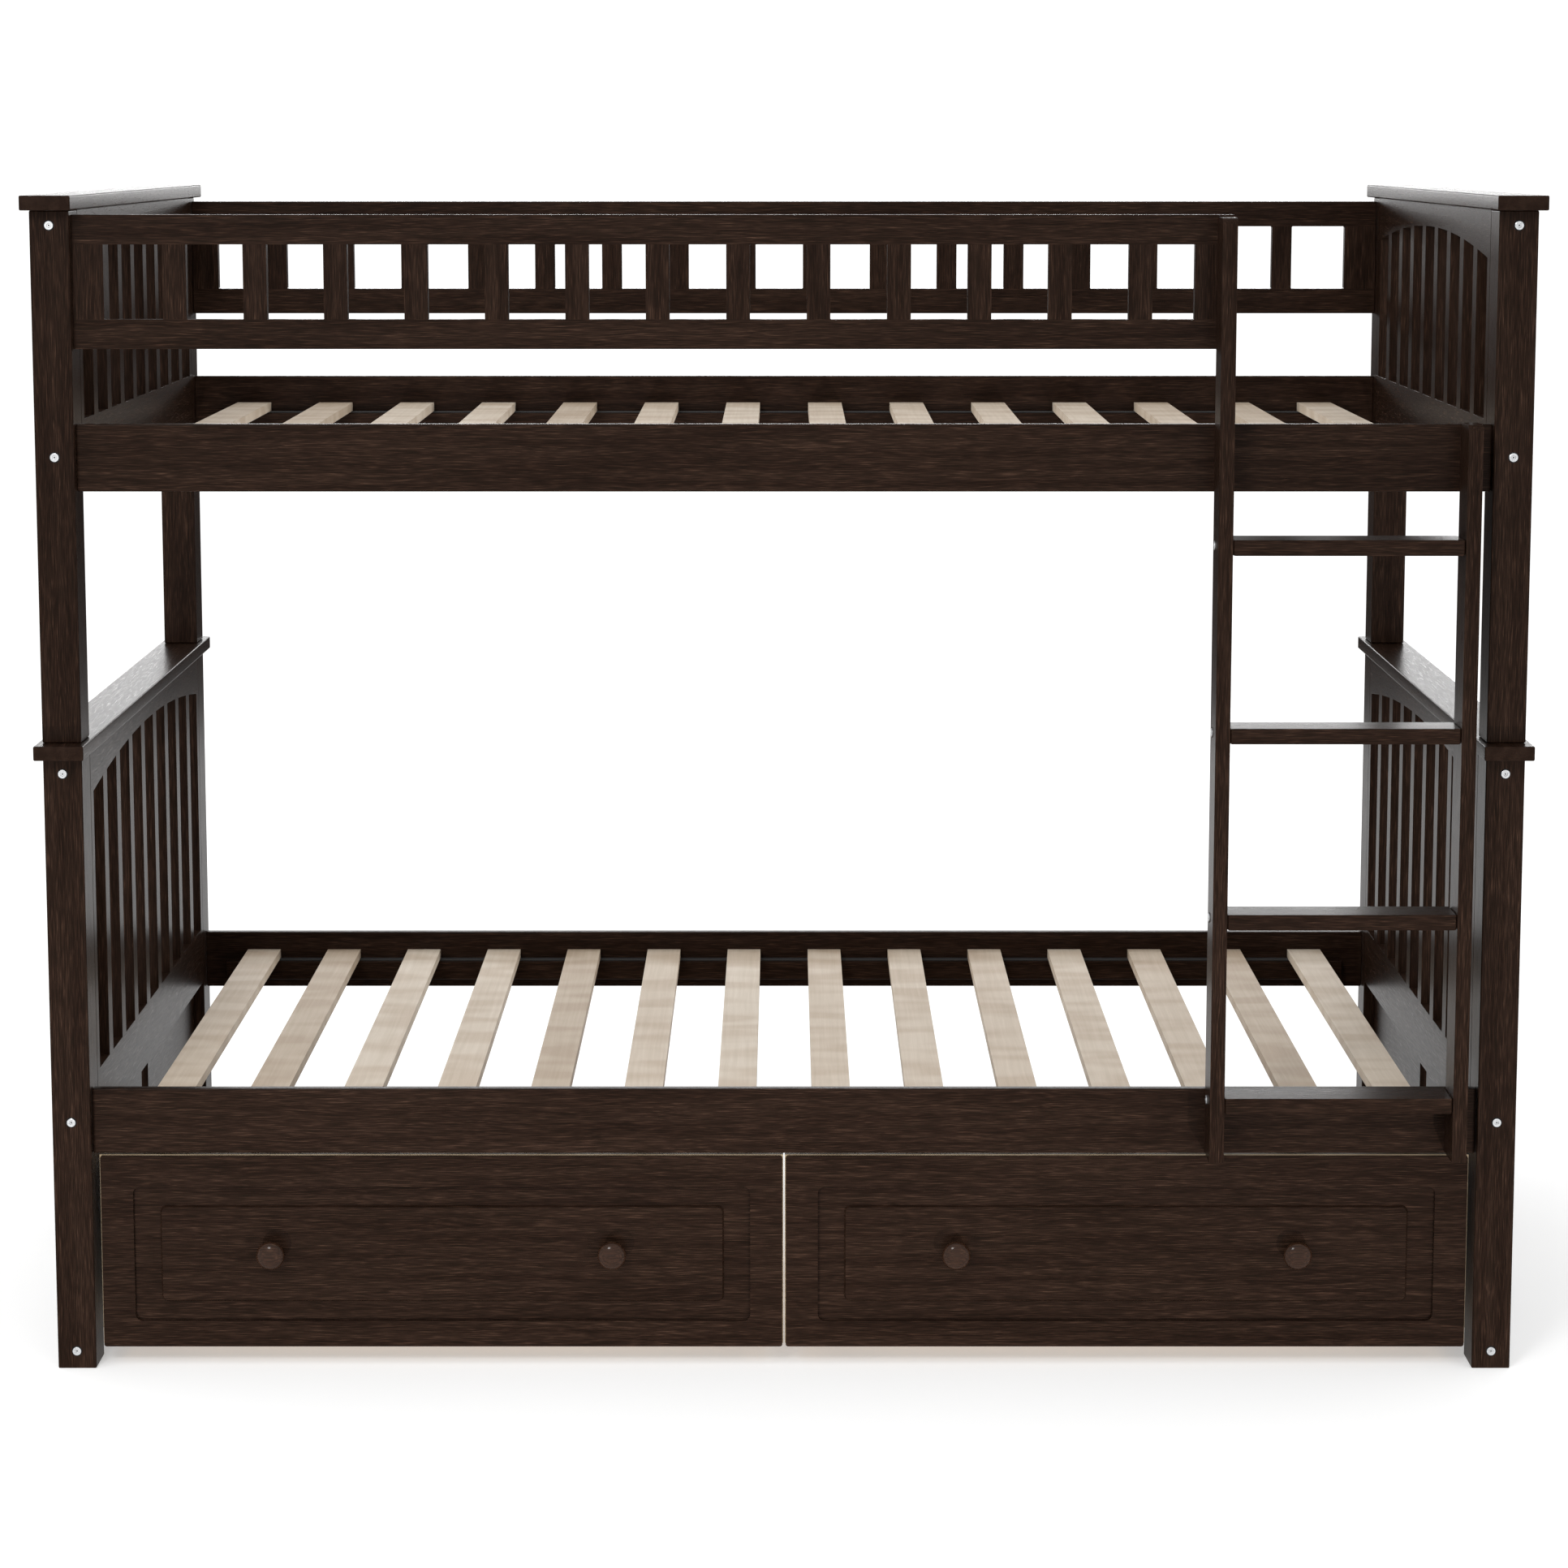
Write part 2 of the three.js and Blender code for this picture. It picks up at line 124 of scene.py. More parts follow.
def make_flag():
    """A black flag behind the bed, seen only in the lacquer's shine, so that the faces which look along the
    bed mirror a dark room and the ones which look up mirror the white one."""
    mesh = bpy.data.meshes.new("black_flag")
    mesh.from_pydata([(-8, 5, 0), (8, 5, 0), (8, 5, 1.4), (-8, 5, 1.4)], [], [(0, 1, 2, 3)])
    flag = bpy.data.objects.new("black_flag", mesh)
    bpy.context.scene.collection.objects.link(flag)
    material = bpy.data.materials.new("black_felt")
    material.use_nodes = True
    felt = material.node_tree.nodes["Principled BSDF"]
    felt.inputs["Base Color"].default_value = (0.01, 0.01, 0.01, 1)
    felt.inputs["Roughness"].default_value = 1.0
    mesh.materials.append(material)
    flag.visible_camera = False
    flag.visible_diffuse = False
    flag.visible_shadow = False


def make_light():
    """A white room, a softbox high on the left of the front, a strip behind over a black flag, which the tops
    of the boards mirror, and two low spots that light the fronts from either side."""
    world = bpy.data.worlds.new("white_studio")
    world.use_nodes = True
    world.node_tree.nodes["Background"].inputs["Color"].default_value = (1, 1, 1, 1)
    world.node_tree.nodes["Background"].inputs["Strength"].default_value = 1.15
    bpy.context.scene.world = world
    bpy.context.scene.view_settings.view_transform = "Standard"
    make_softbox("high_front", (-1.6, -4.5, 3.4), (0, 0, 0.9), 1.2, 1.2, 100)
    make_softbox("back_strip", (0, 6.5, 1.95), (0, 0, 1.6), 8, 0.5, 110)
    for side, name in zip((-1, 1), SIDES):
        make_low_spot(f"low_{name}", side)
    make_flag()


# ---- materials ----
def linear(hexcode):
    """An sRGB hex colour as the linear colour that the shader mixes."""
    srgb = np.array([int(hexcode[i : i + 2], 16) for i in (0, 2, 4)]) / 255
    rgb = np.where(srgb <= 0.04045, srgb / 12.92, ((srgb + 0.055) / 1.055) ** 2.4)
    return (*rgb, 1.0)


def add(tree, kind, inputs=None, **settings):
    """One node with its settings, and for each named input a value or the socket that feeds it."""
    made = tree.nodes.new("ShaderNode" + kind)
    for key, value in settings.items():
        setattr(made, key, value)
    for key, value in (inputs or {}).items():
        if isinstance(value, bpy.types.NodeSocket):
            tree.links.new(value, made.inputs[key])
        else:
            made.inputs[key].default_value = value
    return made


def new_material(name, roughness, metallic=0.0, ior=1.5, coat=0.0, coat_roughness=0.1):
    """An empty material with its principled shader, whose uniform values stand on its own sockets."""
    material = bpy.data.materials.new(name)
    material.use_nodes = True
    shader = material.node_tree.nodes["Principled BSDF"]
    shader.inputs["Roughness"].default_value = roughness
    shader.inputs["Metallic"].default_value = metallic
    shader.inputs["Coat Weight"].default_value = coat
    shader.inputs["Coat Roughness"].default_value = coat_roughness
    if not metallic:
        shader.inputs["IOR"].default_value = ior
    return material, material.node_tree, shader


def ramp(tree, factor, stops):
    """A colour ramp from (position, sRGB hex) stops."""
    made = add(tree, "ValToRGB", {"Fac": factor})
    elements = made.color_ramp.elements
    while len(elements) < len(stops):
        elements.new(0.5)
    for element, (position, hexcode) in zip(elements, stops):
        element.position = position
        element.color = linear(hexcode)
    return made.outputs["Color"]


# A mix node's two inputs and its output, for each type of value.
MIX_SOCKETS = {"VECTOR": (4, 5, 1), "RGBA": (6, 7, 2)}


def mixed(tree, factor, first, second, data_type="RGBA", blend_type="MIX"):
    """The first value where the factor is 0, and the second, or the two blended, where it is 1."""
    first_at, second_at, result_at = MIX_SOCKETS[data_type]
    made = add(
        tree,
        "Mix",
        {0: factor, first_at: first, second_at: second},
        data_type=data_type,
        blend_type=blend_type,
    )
    return made.outputs[result_at]


def position(tree):
    """Object coordinates, and their three parts."""
    whole = add(tree, "TexCoord").outputs["Object"]
    parts = add(tree, "SeparateXYZ", {"Vector": whole})
    return whole, parts.outputs


def grain_scale(axis, across, along):
    """How many pattern cells there are to a metre each way, for grain that runs along an axis."""
    cells = [1 / across] * 3
    cells["XYZ".index(axis)] = 1 / along
    return cells


def wandering(tree, whole, axis):
    """Object coordinates pushed across the grain by a slow noise, so that the lines wander by a few mm."""
    sway_length = 160 * MM
    sway_width = 40 * MM
    sway = 7 * MM
    stretched = add(
        tree, "Mapping", {"Vector": whole, "Scale": grain_scale(axis, sway_width, sway_length)}
    )
    noise = add(tree, "TexNoise", {"Vector": stretched.outputs[0], "Scale": 1.0, "Detail": 2.0})
    centred = add(
        tree, "VectorMath", {0: noise.outputs["Color"], 1: (0.5, 0.5, 0.5)}, operation="SUBTRACT"
    )
    amount = [sway] * 3
    amount["XYZ".index(axis)] = 0
    pushed = add(
        tree,
        "VectorMath",
        {0: centred.outputs[0], 1: amount, 2: whole},
        operation="MULTIPLY_ADD",
    )
    return pushed.outputs[0]


def above(tree, value, limit):
    """1 where a value is above a limit, and 0 elsewhere."""
    return add(tree, "Math", {0: value, 1: limit}, operation="GREATER_THAN").outputs[0]


def grain_vectors(tree, cells, axis, other=None, mask=None):
    """The pattern vector of a grain along one axis, or along the other one where a mask is 1."""
    whole, parts = position(tree)
    vectors = []
    for each in filter(None, (axis, other)):
        bent = wandering(tree, whole, each)
        mapping = add(tree, "Mapping", {"Vector": bent, "Scale": grain_scale(each, *cells)})
        vectors.append(mapping.outputs[0])
    if other:
        return mixed(tree, mask(tree, parts), *vectors, data_type="VECTOR")
    return vectors[0]


def scaled(tree, vector, factors):
    """A pattern vector with each part multiplied."""
    return add(tree, "VectorMath", {0: vector, 1: factors}, operation="MULTIPLY").outputs[0]


def espresso_wood(name, axis, other=None, mask=None):
    """Rubberwood under espresso stain and satin lacquer: a near-black brown ground, fine lighter latewood
    lines about 2 mm apart that wander along the board, and slow bands of tone. The thin lacquer returns
    little of the room face on and a grey shine at a low angle, which an index of 1.12 gives."""
    material, tree, shader = new_material(name, 0.3, ior=1.12)
    line_width = 0.95 * MM
    line_length = 32 * MM
    vector = grain_vectors(tree, (line_width, line_length), axis, other, mask)

    lines = add(
        tree,
        "TexNoise",
        {"Vector": vector, "Scale": 1.0, "Detail": 2.0, "Roughness": 0.55, "Distortion": 0.2},
    ).outputs["Fac"]
    bands = add(
        tree,
        "TexNoise",
        {"Vector": scaled(tree, vector, (0.08, 0.08, 0.08)), "Scale": 1.0, "Detail": 2.0},
    ).outputs["Fac"]
    stain = ramp(
        tree,
        lines,
        [(0.34, "19110B"), (0.46, "1F140E"), (0.54, "251913"), (0.63, "2F2119"), (0.76, "443228")],
    )
    tone = ramp(tree, bands, [(0.35, "D2CCC8"), (0.65, "FFFFFF")])
    toned = mixed(tree, 1.0, stain, tone, blend_type="MULTIPLY")
    tree.links.new(toned, shader.inputs["Base Color"])

    shine = add(
        tree,
        "MapRange",
        {"Value": lines, "From Min": 0.35, "From Max": 0.7, "To Min": 0.34, "To Max": 0.26},
    )
    tree.links.new(shine.outputs[0], shader.inputs["Roughness"])
    pores = add(tree, "Bump", {"Height": lines, "Strength": 0.12, "Distance": 0.4 * MM})
    tree.links.new(pores.outputs["Normal"], shader.inputs["Normal"])
    return material


def birch_slats(name, pitch, first, strap_top):
    """Plain-sawn birch, sanded and left bare: pale and even, with faint darker grain from front to rear and
    soft grey diagonal bands across it, drawn from slow noise. Each slat has its own tone. Below the strap's
    level it is dark webbing."""
    material, tree, shader = new_material(name, 0.62)
    whole, parts = position(tree)
    bent = wandering(tree, whole, "Y")
    grain = add(tree, "Mapping", {"Vector": bent, "Scale": grain_scale("Y", 5 * MM, 260 * MM)})
    lines = add(
        tree, "TexNoise", {"Vector": grain.outputs[0], "Scale": 1.0, "Detail": 4.0, "Roughness": 0.6}
    ).outputs["Fac"]
    wood = ramp(tree, lines, [(0.3, "BFB2A0"), (0.5, "C5B8A7"), (0.7, "CBBFAF")])
    # Soft grey bands that run slantwise across the slats, drawn from slow noise.
    band_map = add(
        tree,
        "Mapping",
        {"Vector": whole, "Rotation": (0, 0, 0.3), "Scale": grain_scale("X", 44 * MM, 110 * MM)},
    )
    slant_bands = add(tree, "TexNoise", {"Vector": band_map.outputs[0], "Scale": 1.0, "Detail": 0.5})
    band_tone = ramp(tree, slant_bands.outputs["Fac"], [(0.36, "EDE7E1"), (0.62, "FFFFFF")])
    banded = mixed(tree, 1.0, wood, band_tone, blend_type="MULTIPLY")

    from_first = add(tree, "Math", {0: parts["X"], 1: first}, operation="SUBTRACT").outputs[0]
    counted = add(tree, "Math", {0: from_first, 1: pitch}, operation="DIVIDE").outputs[0]
    number = add(tree, "Math", {0: counted}, operation="FLOOR").outputs[0]
    draw = add(tree, "TexWhiteNoise", {"W": number}, noise_dimensions="1D").outputs["Value"]
    slat_tone = ramp(tree, draw, [(0.0, "E3DCD4"), (0.5, "F4F0EC"), (1.0, "FFFFFF")])
    toned = mixed(tree, 1.0, banded, slat_tone, blend_type="MULTIPLY")

    is_slat = above(tree, parts["Z"], strap_top)
    webbing = linear("2B2A2A")
    tree.links.new(mixed(tree, is_slat, webbing, toned), shader.inputs["Base Color"])
    bump = add(tree, "Bump", {"Height": lines, "Strength": 0.1, "Distance": 0.3 * MM})
    tree.links.new(bump.outputs["Normal"], shader.inputs["Normal"])
    return material


def bare_wood(name, axis, stops):
    """Poplar plywood and sawn edges, sanded and left bare: pale, with soft streaks along the grain."""
    material, tree, shader = new_material(name, 0.6)
    vector = grain_vectors(tree, (4 * MM, 120 * MM), axis)
    lines = add(
        tree, "TexNoise", {"Vector": vector, "Scale": 1.0, "Detail": 4.0, "Roughness": 0.6}
    ).outputs["Fac"]
    tree.links.new(ramp(tree, lines, stops), shader.inputs["Base Color"])
    bump = add(tree, "Bump", {"Height": lines, "Strength": 0.2, "Distance": 0.3 * MM})
    tree.links.new(bump.outputs["Normal"], shader.inputs["Normal"])
    return material


def lacquered_knob_wood():
    """Turned rubberwood, stained to match and dipped in gloss lacquer: a wet, sharp highlight."""
    material, tree, shader = new_material(
        "gloss_lacquered_rubberwood", 0.3, ior=1.12, coat=0.22, coat_roughness=0.05
    )
    vector = grain_vectors(tree, (1.6 * MM, 40 * MM), "X")
    lines = add(tree, "TexNoise", {"Vector": vector, "Scale": 1.0, "Detail": 3.0}).outputs["Fac"]
    stain = ramp(tree, lines, [(0.35, "1F130C"), (0.6, "2E1D14"), (0.75, "3E2B1F")])
    tree.links.new(stain, shader.inputs["Base Color"])
    return material


def zinc_plate():
    """Bright zinc plate on steel: a pale blue-grey metal whose shine is softened by a fine crystal grain."""
    material, tree, shader = new_material("bright_zinc_plate", 0.3, metallic=1.0)
    whole, _ = position(tree)
    crystal = 1.5 * MM
    grain = add(tree, "TexNoise", {"Vector": whole, "Scale": 1 / crystal, "Detail": 3.0}).outputs["Fac"]
    metal = ramp(tree, grain, [(0.3, "B4B6B8"), (0.7, "DEDFE0")])
    tree.links.new(metal, shader.inputs["Base Color"])
    shine = add(
        tree,
        "MapRange",
        {"Value": grain, "From Min": 0.3, "From Max": 0.7, "To Min": 0.38, "To Max": 0.26},
    )
    tree.links.new(shine.outputs[0], shader.inputs["Roughness"])
    return material


def nylon_and_painted_shade(name, hexcode, roughness):
    """Injection-moulded nylon: one dark colour, with a fine spark-eroded texture that breaks up its shine.
    Made nearly black, the same shader also paints the shade in the bolts' bores.
    """
    material, tree, shader = new_material(name, roughness, ior=1.4)
    whole, _ = position(tree)
    texture_grain = 0.9 * MM
    grain = add(tree, "TexNoise", {"Vector": whole, "Scale": 1 / texture_grain, "Detail": 2.0})
    base = np.array(linear(hexcode)[:3])
    shade = mixed(tree, grain.outputs["Fac"], (*(base * 0.8), 1), (*(base * 1.2), 1))
    tree.links.new(shade, shader.inputs["Base Color"])
    bump = add(
        tree, "Bump", {"Height": grain.outputs["Fac"], "Strength": 0.2, "Distance": 0.1 * MM}
    )
    tree.links.new(bump.outputs["Normal"], shader.inputs["Normal"])
    return material


# ---- finishes on the joinery ----
GUARD_RAIL_HEIGHT = 40 * MM
ARCH_RISE = 32 * MM
ARCH_DEPTH = {"lower": 28 * MM, "upper": 34 * MM}
END_STILE_WIDTH = 19 * MM
CROSS_RAIL_HEIGHT = 90 * MM
SLAT_WIDTH = 54.5 * MM
SLAT_THICKNESS = 14 * MM
SLAT_COUNT = 14
STRAP_BITE = 0.4 * MM  # how far above the slats' underside the webbing may reach


def guard_mask(low, high):
    """1 on the guard's two long rails, which lie above and below its slats."""

    def mask(tree, parts):
        middle = (low.z + high.z) / 2
        reach = (high.z - low.z) / 2 - GUARD_RAIL_HEIGHT
        offset = add(tree, "Math", {0: parts["Z"], 1: middle}, operation="SUBTRACT").outputs[0]
        distance = add(tree, "Math", {0: offset}, operation="ABSOLUTE").outputs[0]
        return above(tree, distance, reach)

    return mask


def end_panel_mask(low, high, arch_depth):
    """1 on the cross rail, and on the arched rail: above apex - y² / 2R, with y from the panel's middle."""

    def mask(tree, parts):
        half_chord = (high.y - low.y) / 2 - END_STILE_WIDTH
        radius = (half_chord**2 + ARCH_RISE**2) / (2 * ARCH_RISE)
        middle = (low.y + high.y) / 2
        across = add(tree, "Math", {0: parts["Y"], 1: middle}, operation="SUBTRACT").outputs[0]
        squared = add(tree, "Math", {0: across, 1: across}, operation="MULTIPLY").outputs[0]
        fall = add(tree, "Math", {0: squared, 1: 2 * radius}, operation="DIVIDE").outputs[0]
        straightened = add(tree, "Math", {0: parts["Z"], 1: fall}, operation="ADD").outputs[0]
        arch = above(tree, straightened, high.z - arch_depth)
        spindle = above(tree, parts["Z"], low.z + CROSS_RAIL_HEIGHT)
        cross = add(tree, "Math", {0: 1.0, 1: spindle}, operation="SUBTRACT").outputs[0]
        return add(tree, "Math", {0: arch, 1: cross}, operation="MAXIMUM").outputs[0]

    return mask


def rounded(node, radius, segments=3):
    """Welds a piece's faces together and eases its arrises to a radius."""
    node.data.polygons.foreach_set("use_smooth", np.ones(len(node.data.polygons), bool))
    weld = node.modifiers.new("weld", "WELD")
    weld.merge_threshold = 0.01 * MM
    ease = node.modifiers.new("eased_arrises", "BEVEL")
    ease.width = radius
    ease.segments = segments
    ease.limit_method = "ANGLE"
    ease.angle_limit = math.radians(35)
    level = node.modifiers.new("flat_faces_stay_flat", "WEIGHTED_NORMAL")
    level.mode = "FACE_AREA"
    level.weight = 100


def finish_node(name, material, radius=1.5 * MM, segments=3):
    """Gives a CAD piece its finish and its eased arrises."""
    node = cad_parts[name]
    node.data.materials.clear()
    node.data.materials.append(material)
    rounded(node, radius, segments)


def finish_joinery():
    """Every board takes the stain whose grain runs along its own length."""
    upright = espresso_wood("espresso_rubberwood_upright", "Z")
    lengthwise = espresso_wood("espresso_rubberwood_lengthwise", "X")
    crosswise = espresso_wood("espresso_rubberwood_crosswise", "Y")
    for tier in TIERS:
        for side in SIDES:
            finish_node(f"cap_{tier}_{side}", crosswise, 2 * MM)
            for face in FACES:
                finish_node(f"post_{tier}_{face}_{side}", upright, 2 * MM)
            name = f"end_panel_{tier}_{side}"
            mask = end_panel_mask(*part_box(name), ARCH_DEPTH[tier])
            panel = espresso_wood(f"espresso_rubberwood_{name}", "Z", "Y", mask)
            finish_node(name, panel, 1.5 * MM)
        for face in FACES:
            finish_node(f"side_rail_{tier}_{face}", lengthwise, 2 * MM)
            finish_node(f"cleat_{tier}_{face}", lengthwise)
        slats = f"slat_roll_{tier}"
        low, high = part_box(slats)
        slat_pitch = (high.x - low.x - SLAT_WIDTH) / (SLAT_COUNT - 1)
        first = low.x + SLAT_WIDTH / 2 - slat_pitch / 2
        strap_top = high.z - SLAT_THICKNESS + STRAP_BITE
        birch = birch_slats(f"birch_{slats}", slat_pitch, first, strap_top)
        finish_node(slats, birch, 0.8 * MM, 2)
    for side in SIDES:
        finish_node(f"ladder_rail_{side}", upright, 2 * MM)
        for face in FACES:
            finish_node(f"skirt_{face}_{side}", crosswise)
    for step in range(1, 5):
        finish_node(f"ladder_step_{step}", lengthwise, 3 * MM)
    for face in FACES:
        name = f"guard_rail_{face}"
        guard = espresso_wood(f"espresso_rubberwood_{name}", "Z", "X", guard_mask(*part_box(name)))
        finish_node(name, guard)


def finish_drawers():
    """Stained fronts on boxes of bare poplar ply."""
    front = espresso_wood("espresso_rubberwood_drawer_front", "X")
    stops = [(0.3, "B8956A"), (0.5, "CDAF86"), (0.7, "DCC39E")]
    sides = bare_wood("bare_poplar_ply_sides", "Y", stops)
    across = bare_wood("bare_poplar_ply_across", "X", stops)
    for side in SIDES:
        finish_node(f"drawer_{side}_front", front, 1.0 * MM, 2)
        for hand in SIDES:
            finish_node(f"drawer_{side}_side_{hand}", sides, 0.8 * MM, 2)
        for board in ("back", "bottom"):
            finish_node(f"drawer_{side}_{board}", across, 0.6 * MM, 2)


# ---- surfaces ----
def piece(name, points, faces, material, body, smooth=True):
    """A mesh from an array of points and a list or array of faces, riding on a body."""
    mesh = bpy.data.meshes.new(name)
    mesh.from_pydata(np.asarray(points, float).tolist(), [], [list(map(int, f)) for f in faces])
    mesh.materials.append(material)
    if smooth:
        mesh.polygons.foreach_set("use_smooth", np.ones(len(mesh.polygons), bool))
    made = bpy.data.objects.new(name, mesh)
    bpy.context.scene.collection.objects.link(made)
    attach(made, body)
    return made


def capped(rows, foot_middle, tip_middle):
    """A closed surface through rings of points, as (points, faces). Rings and points are joined by quads, and
    the first and the last ring by a fan to a middle point."""
    count, sides = rows.shape[:2]
    points = np.vstack([rows.reshape(-1, 3), foot_middle, tip_middle])
    i, j = np.meshgrid(np.arange(count - 1), np.arange(sides), indexing="ij")
    here, right = i * sides + j, i * sides + (j + 1) % sides
    quads = np.stack([here, right, right + sides, here + sides], -1).reshape(-1, 4)
    j = np.arange(sides)
    foot = np.stack([(j + 1) % sides, j, np.full(sides, count * sides)], -1)
    last = (count - 1) * sides
    tip = np.stack([last + j, last + (j + 1) % sides, np.full(sides, count * sides + 1)], -1)
    return points, quads.tolist() + foot.tolist() + tip.tolist()


def turned(profile, sides, base, axis, across, up):
    """A surface of revolution: profile rows are (radius, height), and the point at angle t on a row is
    base + height * axis + radius * (cos t * across + sin t * up). The first and last rows lie on the axis."""
    base, axis, across, up = (np.asarray(v, float) for v in (base, axis, across, up))
    profile = np.asarray(profile, float)
    angle = np.arange(sides) / sides * 2 * math.pi
    ring = np.cos(angle)[:, None] * across + np.sin(angle)[:, None] * up
    rows = base + profile[1:-1, 1, None, None] * axis + profile[1:-1, 0, None, None] * ring
    return capped(rows, base + profile[0, 1] * axis, base + profile[-1, 1] * axis)


def joined(parts):
    """Several (points, faces) surfaces as one."""
    points, faces, start = [], [], 0
    for some_points, some_faces in parts:
        points.append(some_points)
        faces += [[v + start for v in face] for face in some_faces]
        start += len(some_points)
    return np.vstack(points), faces


def smooth_row(corners, steps):
    """A rounded profile: quadratic Bezier arcs of a few steps round each inner corner, through the
    middles of the straight runs between corners."""
    corners = np.asarray(corners, float)
    rows = [corners[0]]
    middles = (corners[:-1] + corners[1:]) / 2
    t = np.linspace(0, 1, steps)[:, None]
    for k in range(1, len(corners) - 1):
        a, b, c = middles[k - 1], corners[k], middles[k]
        rows.extend((1 - t) ** 2 * a + 2 * t * (1 - t) * b + t**2 * c)
    rows.append(corners[-1])
    return np.array(rows)


X, Y, Z = np.eye(3)
OUTWARD = {"left": -1, "right": 1}


# ---- knobs ----
def knob_profile(radius, length):
    """A turned knob's section: a thin flange, a waisted neck, and a flattened ball whose upper half is
    radius * cos a, with its front a little domed."""
    ball = 0.55 * radius
    angle = np.linspace(-0.36 * math.pi, 0.5 * math.pi, 22)
    head = np.stack([radius * np.cos(angle), length - ball + ball * np.sin(angle)], -1)
    neck = smooth_row(
        [
            (0.64 * radius, 0.0),
            (0.64 * radius, 1.6 * MM),
            (0.56 * radius, 2.8 * MM),
            (0.41 * radius, 4.5 * MM),
            (0.39 * radius, 0.32 * length),
            (0.44 * radius, length - 1.55 * ball),
            head[0],
        ],
        5,
    )
    return np.vstack([(0, 0), neck[:-1], head])


def make_knobs(zinc):
    """Four turned knobs, each in place of its plain CAD knob, with the screw head that holds it inside."""
    lacquer = lacquered_knob_wood()
    for side in SIDES:
        heads = []
        for hand in SIDES:
            node = f"drawer_{side}_knob_{hand}"
            low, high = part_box(node)
            radius = (high.x - low.x) / 2
            middle = (low + high) / 2
            base = (middle.x, high.y, middle.z)
            points, faces = turned(knob_profile(radius, high.y - low.y), 48, base, -Y, X, Z)
            knob = piece(f"drawer_{side}_turned_knob_{hand}", points, faces, lacquer, f"drawer_{side}")
            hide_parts(node)
            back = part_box(f"drawer_{side}_front")[1].y
            heads.append(pan_head((middle.x, back, middle.z), Y, X, -Z))
        piece(f"drawer_{side}_knob_screws", *joined(heads), zinc, f"drawer_{side}")


def pan_head(base, axis, across, up):
    """A pan-head screw seen from outside: a low dome 2.4 mm high and 8 mm across."""
    radius, height = 4 * MM, 2.4 * MM
    angle = np.linspace(0, math.pi / 2, 7)
    dome = np.stack([radius * np.cos(angle) ** 0.7, height * np.sin(angle)], -1)
    return turned(np.vstack([(0, 0), dome]), 20, base, axis, across, up)


# ---- bolts ----
BOLT_RADIUS = 6.0 * MM
BOLT_HEIGHT = 1.7 * MM
SOCKET_APOTHEM = 2.5 * MM
SOCKET_DEPTH = 1.3 * MM
# The ring of painted shade round each bolt head: near black, it stands for the shadow in the bolt's bore.
SHADE_RING_RADIUS = 7.3 * MM
SHADE_RING_HEIGHT = 0.35 * MM
FOOT_BOLT_RISE = 25.2 * MM
BOLT_BELOW_LOWER_CAP = 22.2 * MM
BOLT_BELOW_UPPER_CAP = 20 * MM
RAIL_BOLT_RISE = 2 * MM  # over the middle of a side rail
LADDER_BOLT_INSET = 37 * MM  # behind the front edge of a ladder rail


def socket_head(base, axis, across, up):
    """A furniture bolt's head: each ring is round outside, and in the socket a ring's radius at angle t is
    apothem / cos(t'), with t' the angle from the middle of the nearest of six flats."""
    sides = 48
    base, axis, across, up = (np.asarray(v, float) for v in (base, axis, across, up))
    angle = np.arange(sides) / sides * 2 * math.pi
    from_flat = (angle + math.pi / 6) % (math.pi / 3) - math.pi / 6
    hexagon = SOCKET_APOTHEM / np.cos(from_flat)
    circle = np.ones(sides)
    ease = 0.5 * MM
    rings = [
        (circle * BOLT_RADIUS, SHADE_RING_HEIGHT / 2),
        (circle * BOLT_RADIUS, BOLT_HEIGHT - ease),
        (circle * (BOLT_RADIUS - 0.3 * ease), BOLT_HEIGHT - 0.3 * ease),
        (circle * (BOLT_RADIUS - ease), BOLT_HEIGHT),
        (hexagon * 1.12, BOLT_HEIGHT),
        (hexagon, BOLT_HEIGHT - 0.3 * MM),
        (hexagon, BOLT_HEIGHT - SOCKET_DEPTH),
    ]
    radii = np.array([r for r, _ in rings])
    heights = np.array([h for _, h in rings])
    round_way = np.cos(angle)[:, None] * across + np.sin(angle)[:, None] * up
    rows = base + heights[:, None, None] * axis + radii[:, :, None] * round_way
    return capped(rows, base + heights[0] * axis, base + heights[-1] * axis)


def painted_shade_ring(base, axis, across, up):
    """Painted shade round a bolt: a near-black ring a third of a millimetre proud, for the shadowed rim of
    its bore, and a near-black disc for the shade at the foot of its socket.
    """
    inner = BOLT_RADIUS - 1 * MM
    profile = [(0, 0), (SHADE_RING_RADIUS, 0), (SHADE_RING_RADIUS, SHADE_RING_HEIGHT * 0.6)]
    profile += [(SHADE_RING_RADIUS - 0.4 * MM, SHADE_RING_HEIGHT), (inner, SHADE_RING_HEIGHT), (0, SHADE_RING_HEIGHT)]
    # A near-black disc at the foot of the socket: painted shade.
    pit_radius = 0.4 * SOCKET_APOTHEM
    pit_foot = BOLT_HEIGHT - SOCKET_DEPTH - 0.1 * MM
    pit_top = pit_foot + 0.2 * MM
    pit = [(0, pit_foot), (pit_radius, pit_foot), (pit_radius, pit_top), (0, pit_top)]
    ring = turned(profile, 40, base, axis, across, up)
    return joined([ring, turned(pit, 24, base, axis, across, up)])


